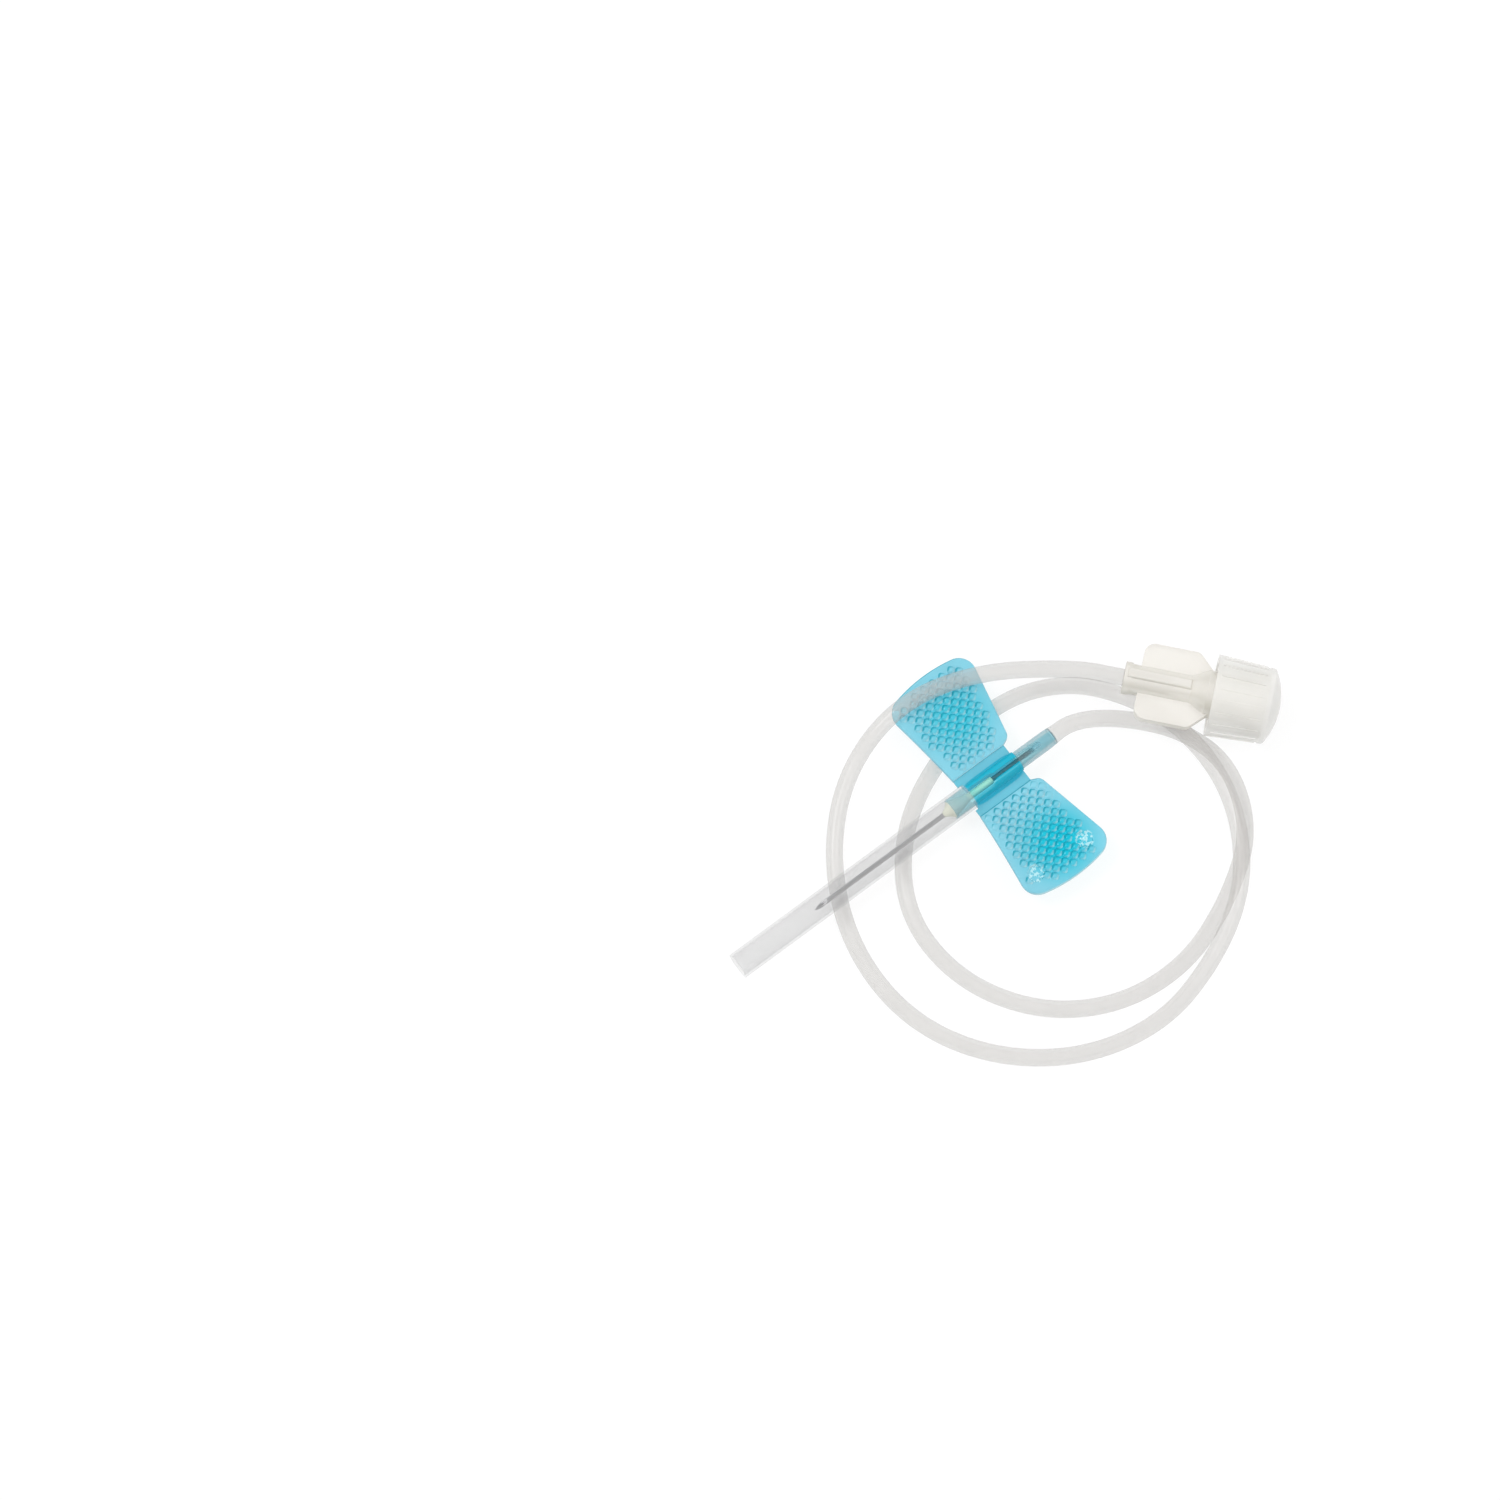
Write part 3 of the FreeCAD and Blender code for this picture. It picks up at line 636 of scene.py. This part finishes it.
def route_line():
    """Points of the smooth line along the route, as the curve itself gives them."""
    curve = bpy.data.curves.new("tubing_route", "CURVE")
    curve.dimensions = "3D"
    curve.resolution_u = TUBE_STEPS
    spline = curve.splines.new("NURBS")
    spline.points.add(len(ROUTE) - 1)
    for point, place in zip(spline.points, ROUTE):
        point.co = (*place, 1)
    spline.order_u = 3
    spline.use_endpoint_u = True
    holder = bpy.data.objects.new("tubing_route", curve)
    mesh = bpy.data.meshes.new_from_object(holder)
    line = [vertex.co.copy() for vertex in mesh.vertices]
    bpy.data.objects.remove(holder)
    bpy.data.curves.remove(curve)
    bpy.data.meshes.remove(mesh)
    return line


def rings_along(line):
    """A pair of crosswise directions at each point, carried along without twist."""
    pairs = []
    side = Vector((0, 0, 1))
    for i, point in enumerate(line):
        ahead = line[min(i + 1, len(line) - 1)] - line[max(i - 1, 0)]
        ahead.normalize()
        side = (side - ahead * side.dot(ahead)).normalized()
        pairs.append((side.copy(), ahead.cross(side)))
    return pairs


def finished(mesh, name):
    """The mesh as data of its own."""
    data = bpy.data.meshes.new(name)
    mesh.to_mesh(data)
    mesh.free()
    return data


def tube_mesh(name, line, outer, bore):
    """A hollow tube along a line, whose outer and bore radii are functions of the distance gone."""
    mesh = bmesh.new()
    gone = [0.0]
    for a, b in zip(line, line[1:]):
        gone.append(gone[-1] + (b - a).length)
    pairs = rings_along(line)

    def skin(radius):
        rings = []
        for point, (side, across), far in zip(line, pairs, gone):
            ring = []
            for k in range(TUBE_SIDES):
                turn = 2 * math.pi * k / TUBE_SIDES
                offset = side * math.cos(turn) + across * math.sin(turn)
                ring.append(mesh.verts.new(point + offset * radius(far)))
            rings.append(ring)
        return rings

    outside, inside = skin(outer), skin(bore)
    strips = [(a, b, False) for a, b in zip(outside, outside[1:])]
    strips += [(a, b, True) for a, b in zip(inside, inside[1:])]
    strips += [(outside[0], inside[0], True), (outside[-1], inside[-1], False)]
    for a, b, flip in strips:
        for k in range(TUBE_SIDES):
            n = (k + 1) % TUBE_SIDES
            corners = [a[k], a[n], b[n], b[k]]
            mesh.faces.new(corners[::-1] if flip else corners)
    bmesh.ops.recalc_face_normals(mesh, faces=mesh.faces)
    data = finished(mesh, name)
    data.polygons.foreach_set("use_smooth", [True] * len(data.polygons))
    return data


def add_tubing():
    """The soft tubing, stretched over the hub's tail at its start. Its bore has a fainter finish."""
    line = route_line()
    tail_length = TAIL_END - SLEEVE_REAR

    def outer(far):
        share = min(1, max(0, (far - FLARE_FROM * tail_length) / (FLARE_RUN * tail_length)))
        return TUBE_FLARE_R + (TUBE_R - TUBE_FLARE_R) * share

    def bore(far):
        narrowing = (STRETCHED_BORE_R - STRETCHED_BORE_END_R) * min(1, far / tail_length)
        return STRETCHED_BORE_R - narrowing if far < tail_length else TUBE_BORE_R

    mesh = tube_mesh("tubing", line, outer, bore)
    mesh.materials.append(tube_vinyl())
    mesh.materials.append(plastic("tube_bore", TUBE_TONE, roughness=0.28, alpha=BORE_SHOWN, bump=0.004))
    skin = len(mesh.polygons) // 2 - TUBE_SIDES
    in_bore = [int(skin <= k < 2 * skin) for k in range(len(mesh.polygons))]
    mesh.polygons.foreach_set("material_index", in_bore)
    piece = link("tubing_soft", mesh, "set")
    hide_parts("tubing")


def hub_solid():
    """The hub's solid as one closed mesh."""
    solid = bmesh.new()
    solid.from_mesh(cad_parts["wing_hub"].data)
    bmesh.ops.remove_doubles(solid, verts=solid.verts, dist=WELD)
    return solid


def under_loops(solid):
    """The outlines of the solid's flat undersides, each a list of corners in order."""
    flat = {face for face in solid.faces if all(vertex.co.z < WELD for vertex in face.verts)}
    border = {edge for edge in solid.edges if sum(face in flat for face in edge.link_faces) == 1}
    loops = []
    while border:
        edge = min(border, key=lambda e: e.index)
        border.remove(edge)
        start, here = edge.verts
        loop = [start.co.xy, here.co.xy]
        while here is not start:
            edge = next(e for e in here.link_edges if e in border)
            border.remove(edge)
            here = edge.other_vert(here)
            loop.append(here.co.xy)
        loops.append(loop[:-1])
    return loops


def resampled(loop):
    """The same outline with a point about every EDGE_STEP."""
    points = []
    for a, b in zip(loop, loop[1:] + loop[:1]):
        count = max(1, round((b - a).length / EDGE_STEP))
        points += [a.lerp(b, k / count) for k in range(count)]
    return numpy.array(points)


def edge_gap(spots, outline):
    """How far each spot lies from the outline, negative outside."""
    a = outline
    run = numpy.roll(outline, -1, axis=0) - a
    gap = numpy.full(len(spots), numpy.inf)
    crossings = numpy.zeros(len(spots), dtype=int)
    for start, step in zip(a, run):
        to_spot = spots - start
        share = numpy.clip(to_spot @ step / (step @ step), 0, 1)
        gap = numpy.minimum(gap, numpy.hypot(*(to_spot - share[:, None] * step).T))
        end = start + step
        straddles = (start[1] > spots[:, 1]) != (end[1] > spots[:, 1])
        if step[1]:
            crossings += straddles & (to_spot[:, 0] < step[0] * to_spot[:, 1] / step[1])
    return numpy.where(crossings % 2, gap, -gap)


def stud_places(tree):
    """The lattice points over the solid's pads, each with 1 for a stud of the solid and 0 for none."""
    half_step = STUD_PITCH / math.sqrt(2)
    count = int(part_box("wing_hub")[1].y / half_step)
    above = Vector((0, 0, PROBE_HEIGHT))
    places = []
    for i in range(-count, count + 1):
        for j in range(-count, count + 1):
            spot = Vector(((i + j) * half_step, (i - j) * half_step, 0))
            hit = tree.ray_cast(spot + above, Vector((0, 0, -1)))[0]
            if hit is not None and abs(hit.y) > CREASE_Y:
                places.append((spot.x, spot.y, hit.z > PAD_THICK + STUD_HEIGHT / 2))
    return numpy.array(places)


def own_studs(places, outline):
    """Each stud of one pad with its rise. Fainter ones run on to the near pad's crease."""
    gap = edge_gap(places[:, :2], outline)
    by_crease = (places[:, 1] < 0) & (places[:, 1] > -FAINT_TO) & (gap > FAINT_GAP)
    rise = numpy.where(places[:, 2] > 0, STUD_HEIGHT, FAINT_HEIGHT * by_crease)
    return [(x, y, height) for (x, y, _), height, inside in zip(places, rise, gap > 0) if inside and height]


def pad_height(spots, gap, studs):
    """The height of a pad's upper side: flat, rounded off at its edge, with pillow-shaped studs."""
    inward = numpy.clip(PAD_ROUND - gap, 0, PAD_ROUND)
    height = PAD_THICK - PAD_ROUND + numpy.sqrt(PAD_ROUND ** 2 - inward ** 2)
    for x, y, top in studs:
        dx, dy = spots[:, 0] - x, spots[:, 1] - y
        near = numpy.hypot(dx, dy) < STUD_PITCH
        u = numpy.abs(dx[near] + dy[near]) / math.sqrt(2)
        v = numpy.abs(dx[near] - dy[near]) / math.sqrt(2)
        across = (u ** STUD_SQUARENESS + v ** STUD_SQUARENESS) ** (1 / STUD_SQUARENESS)
        rise = 1 - numpy.clip(across / STUD_REACH, 0, 1) ** STUD_BULGE
        height[near] += top * rise
    offset = spots - ARC_MIDDLE
    away = numpy.hypot(*offset.T)
    on_side = numpy.clip(offset @ ARC_SIDE / away - ARC_FADE_FROM, 0, ARC_FADE_RUN) / ARC_FADE_RUN
    height += ARC_RISE * on_side * numpy.exp(-((away - ARC_R) / ARC_WIDTH) ** 2)
    for x, y in EJECTORS:
        away = numpy.hypot(spots[:, 0] - x, spots[:, 1] - y)
        for k in numpy.nonzero(away < EJECTOR_R)[0]:
            ripple = noise.noise(Vector((*spots[k] / EJECTOR_GRAIN, 0)))
            fade = min(1, (EJECTOR_R - away[k]) / EJECTOR_WALL)
            floor = PAD_THICK - EJECTOR_DEPTH + EJECTOR_RIPPLE * ripple
            height[k] += fade * (floor - height[k])
    return height


def pad_mesh(outline, studs):
    """One pad as a closed mesh on a fine grid that runs along the studs' lattice."""
    back = numpy.roll(outline, 1, axis=0)
    ahead = numpy.roll(outline, -1, axis=0)
    along = ahead - back
    inward = numpy.stack([-along[:, 1], along[:, 0]], axis=1) / numpy.hypot(*along.T)[:, None]
    if edge_gap(outline[:1] + inward[:1] * NUDGE, outline)[0] < 0:
        inward = -inward
    rings = [outline]
    for share in EDGE_RINGS:
        ring = outline + inward * share * PAD_ROUND
        rings.append(ring[edge_gap(ring, outline) > RING_CLEAR * share * PAD_ROUND])
    step = STUD_PITCH / GRID_STEPS / math.sqrt(2)
    count = int(numpy.abs(outline).max() / step)
    i, j = numpy.meshgrid(numpy.arange(-count, count + 1), numpy.arange(-count, count + 1))
    grid = numpy.stack([(i + j).ravel() * step, (i - j).ravel() * step], axis=1)
    low, high = outline.min(axis=0), outline.max(axis=0)
    grid = grid[numpy.all((grid > low) & (grid < high), axis=1)]
    rings.append(grid[edge_gap(grid, outline) > GRID_CLEAR * PAD_ROUND])
    spots = numpy.concatenate(rings)
    gap = numpy.maximum(edge_gap(spots, outline), 0)
    gap[:len(outline)] = 0
    height = pad_height(spots, gap, studs)
    count = len(outline)
    border = [(k, (k + 1) % count) for k in range(count)]
    corners = [Vector(spot) for spot in spots]
    faces = delaunay_2d_cdt(corners, border, [], INSIDE_ONLY, SNAP)[2]
    mesh = bmesh.new()
    upper = [mesh.verts.new((*spot, z)) for spot, z in zip(spots, height)]
    lower = [mesh.verts.new((*spot, 0)) for spot in outline]
    for face in faces:
        mesh.faces.new([upper[k] for k in face])
    for a, b in border:
        mesh.faces.new([upper[b], upper[a], lower[a], lower[b]])
    mesh.faces.new(lower)
    bmesh.ops.delete(mesh, geom=[vertex for vertex in mesh.verts if not vertex.link_faces], context="VERTS")
    bmesh.ops.recalc_face_normals(mesh, faces=mesh.faces)
    return mesh


def combined(base, *steps):
    """A mesh joined with others or cut by them, each given after what is done with it."""
    holders = []

    def hold(data):
        holder = bpy.data.objects.new(data.name, data)
        bpy.context.scene.collection.objects.link(holder)
        holders.append(holder)
        return holder

    body = hold(base)
    for operation, data in steps:
        modifier = body.modifiers.new(operation, "BOOLEAN")
        modifier.operation = operation
        modifier.solver = "MANIFOLD"
        modifier.object = hold(data)
    graph = bpy.context.evaluated_depsgraph_get()
    result = bpy.data.meshes.new_from_object(body.evaluated_get(graph))
    for holder in holders:
        bpy.data.objects.remove(holder)
    return result


def block(low, high):
    """A box between two corners."""
    mesh = bmesh.new()
    bmesh.ops.create_cube(mesh, size=1)
    for vertex in mesh.verts:
        vertex.co = [a + (b - a) * (c + 0.5) for a, b, c in zip(low, high, vertex.co)]
    return mesh


def mark_sharp(mesh):
    """Marks edges as sharp: nearly any on the sleeve and the webs, only steep ones on the soft pads."""
    whole = bmesh.new()
    whole.from_mesh(mesh)
    for edge in whole.edges:
        on_middle = all(abs(vertex.co.y) < CREASE_Y + SHARP_PAST_CREASE for vertex in edge.verts)
        limit = SHARP_MIDDLE if on_middle else SHARP_PAD
        edge.smooth = edge.calc_face_angle(0) < limit
    whole.to_mesh(mesh)
    whole.free()


def add_hub():
    """The hub with its pads made anew, their studs rounded like pillows."""
    solid = hub_solid()
    places = stud_places(BVHTree.FromBMesh(solid))
    pads = []
    for loop in under_loops(solid):
        if max(abs(corner.y) for corner in loop) > 2 * CREASE_Y:
            outline = resampled(loop)
            pads.append(finished(pad_mesh(outline, own_studs(places, outline)), "pad"))
    low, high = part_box("wing_hub")
    middle = CREASE_Y + CREASE_OVERLAP
    keep = block((low.x - MM, -middle, low.z - MM), (high.x + MM, middle, high.z + MM))
    steps = [("INTERSECT", finished(keep, "keep"))] + [("UNION", pad) for pad in pads]
    mesh = combined(finished(solid, "hub"), *steps)
    mesh.materials.clear()
    mesh.materials.append(middle_vinyl())
    mesh.materials.append(pad_vinyl())
    on_pad = [int(abs(face.center.y) > CREASE_Y) for face in mesh.polygons]
    mesh.polygons.foreach_set("material_index", on_pad)
    mesh.polygons.foreach_set("use_smooth", [True] * len(mesh.polygons))
    mark_sharp(mesh)
    piece = link("wing_hub_soft", mesh, "set")
    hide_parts("wing_hub")


add_camera()
add_world()
area_light("key", *KEY_LAMP)
area_light("fill", *FILL_LAMP)
add_floor()
add_tubing()

add_hub()
dress("needle_cannula", steel())
dress("needle_adhesive", plastic("cured_glue", GLUE_TONE, roughness=0.2, alpha=GLUE_SHOWN))
dress("needle_guard", plastic("guard_plastic", GUARD_TONE, roughness=0.22, alpha=GUARD_SHOWN, bump=0.004))
dress("luer_connector", connector_plastic())
dress("luer_cap", plastic("cap_plastic", CAP_TONE, roughness=0.3, alpha=CAP_SHOWN))

bpy.context.scene.view_settings.view_transform = "Standard"
